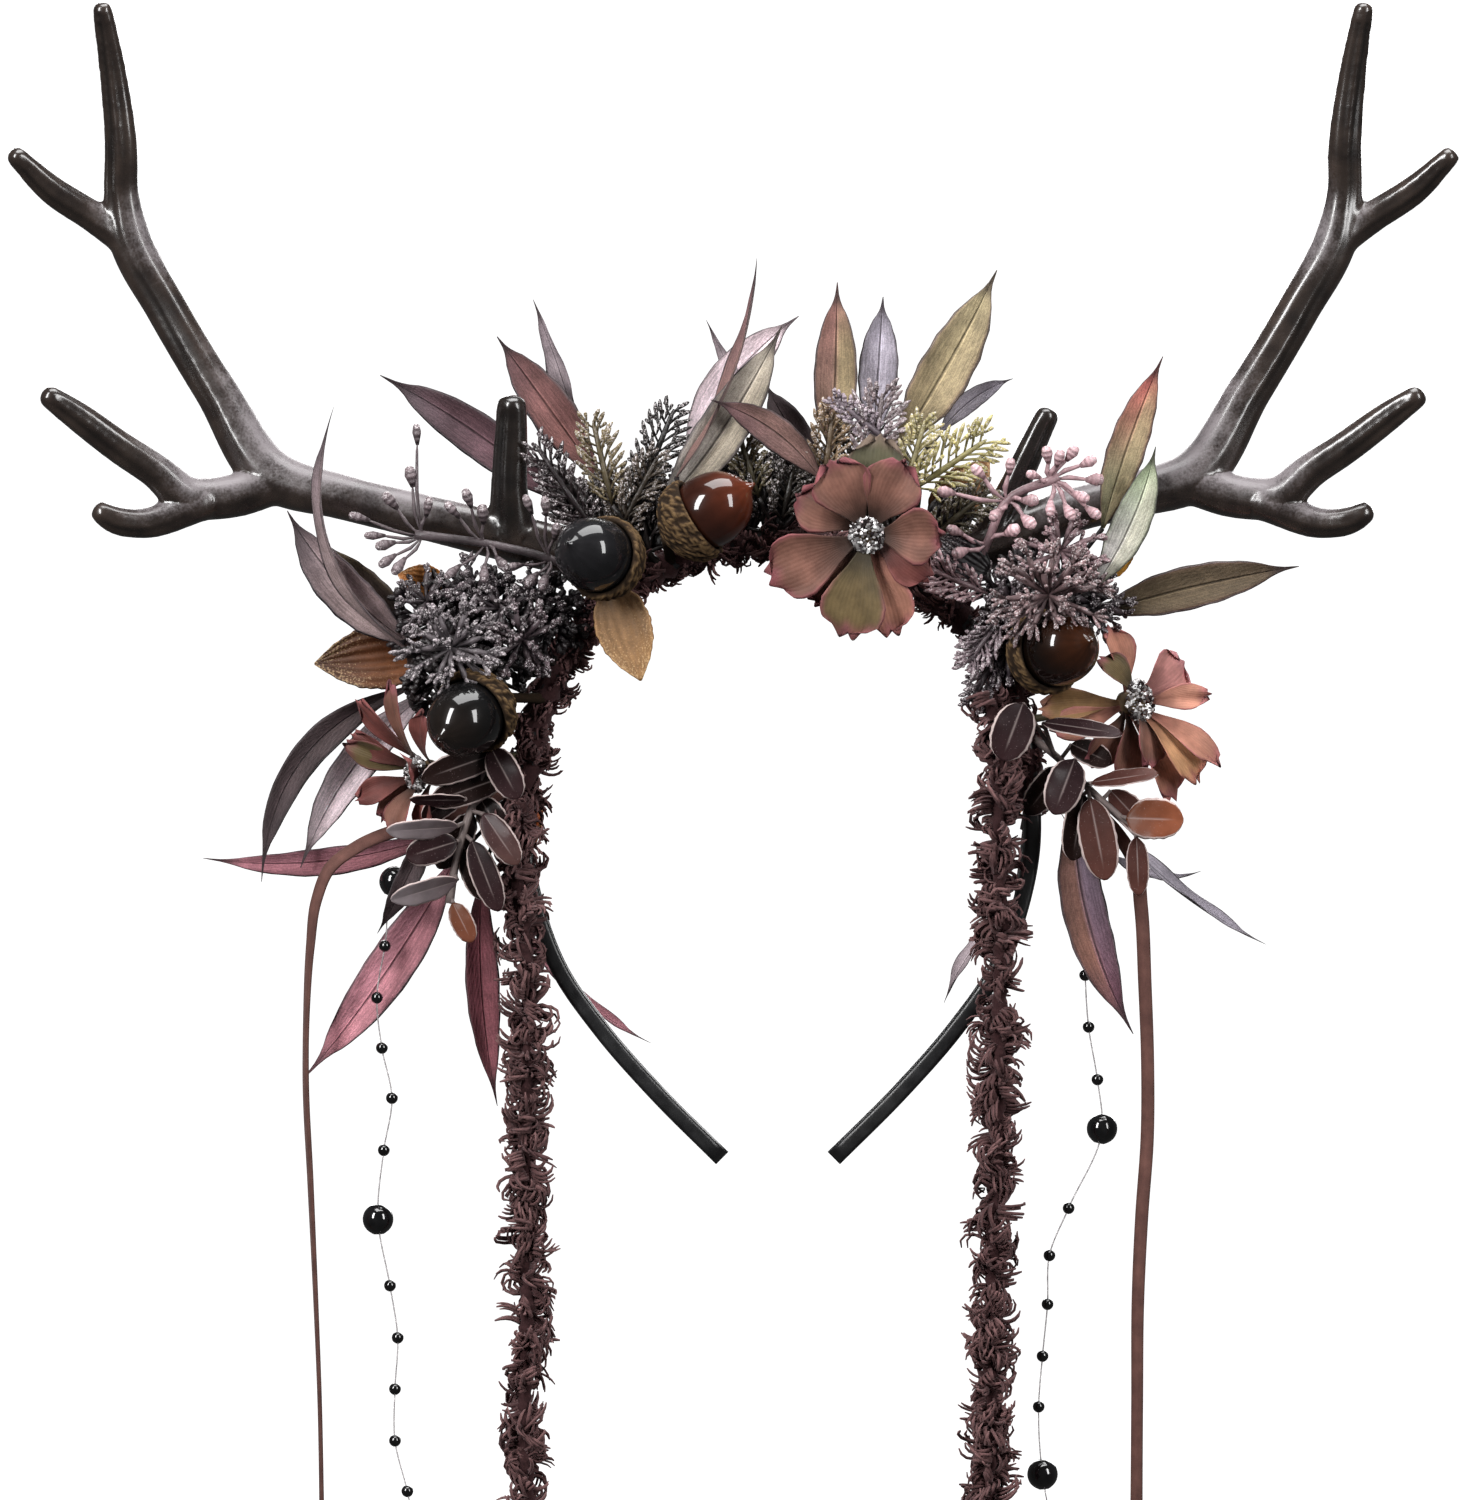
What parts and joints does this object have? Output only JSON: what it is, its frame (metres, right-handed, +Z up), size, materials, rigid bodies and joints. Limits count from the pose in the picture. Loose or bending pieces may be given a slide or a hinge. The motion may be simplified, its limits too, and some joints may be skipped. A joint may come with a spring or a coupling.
{
  "type": "antler crown",
  "caption": "Woodland headband: a yarn-wound hair hoop that carries plastic antlers, cloth flowers, acorns and leaf sprigs, with yarn, laces and bead strings hanging at the sides.",
  "frame": {"origin": "where the wound band sits on the crown of the head, in the hoop's own middle, held up by the wearer's head", "axes": "+Z up, -Y the front, +X to the right as seen from the front; the hoop opens towards -Z"},
  "size_m": [0.3778, 0.052, 0.3951],
  "materials": {
    "hoop_plastic": "black satin plastic",
    "antler_plastic": "brown-black gloss with a grey-mauve sheen",
    "yarn": "fuzzy dark mauve yarn",
    "lace": "flat brown suede lace",
    "leaf_cloth": "printed matte cloth in mauve, rose and olive",
    "petal_cloth": "satin cloth in brown rose with pink margins",
    "flower_centre": "silver-pink glitter",
    "nut_lacquer": "black to chestnut lacquer",
    "cap_wood": "rope-textured tan brown",
    "husk": "dry ribbed bract, tan to rust",
    "spray_plastic": "moulded sprig, grey mauve to olive",
    "boxwood_leaf": "glossy purple brown leaf",
    "bead": "glossy black bead on a clear thread"
  },
  "bodies": {
    "root": {"headband": "hoop_plastic", "band_wrap": "yarn", "antler_left": "antler_plastic", "antler_right": "antler_plastic", "yarn_strand_left": "yarn", "yarn_strand_right": "yarn", "lace_left": "lace", "lace_right": "lace", "bead_string_left": "bead", "bead_string_right": "bead", "acorn_black_nut": "nut_lacquer", "acorn_black_cap": "cap_wood", "acorn_chestnut_nut": "nut_lacquer", "acorn_chestnut_cap": "cap_wood", "acorn_left_nut": "nut_lacquer", "acorn_left_cap": "cap_wood", "acorn_right_nut": "nut_lacquer", "acorn_right_cap": "cap_wood", "flower_front_back_petals": "petal_cloth", "flower_front_front_petals": "petal_cloth", "flower_front_centre": "flower_centre", "flower_left_back_petals": "petal_cloth", "flower_left_front_petals": "petal_cloth", "flower_left_centre": "flower_centre", "flower_right_back_petals": "petal_cloth", "flower_right_front_petals": "petal_cloth", "flower_right_centre": "flower_centre", "boxwood_left": "boxwood_leaf", "boxwood_right": "boxwood_leaf", "willow_top_left": "leaf_cloth", "willow_far_left": "leaf_cloth", "willow_low_left": "leaf_cloth", "willow_hanging_left": "leaf_cloth", "willow_back_left": "leaf_cloth", "willow_top_middle": "leaf_cloth", "willow_cross": "leaf_cloth", "willow_top_right": "leaf_cloth", "willow_right": "leaf_cloth", "willow_right_side": "leaf_cloth", "willow_low_right": "leaf_cloth", "willow_back_right": "leaf_cloth", "husk_far_left": "husk", "husk_front": "husk", "husk_low_left": "husk", "husk_low_right": "husk", "husk_top_right": "husk", "husk_top_left": "husk", "husk_right": "husk", "buds_left": "spray_plastic", "buds_right": "spray_plastic", "umbel_left": "spray_plastic", "umbel_left_inner": "spray_plastic", "umbel_right": "spray_plastic", "fern_left": "spray_plastic", "fern_middle": "spray_plastic", "fern_right": "spray_plastic", "fern_low_right": "spray_plastic"}
  },
  "joints": []
}
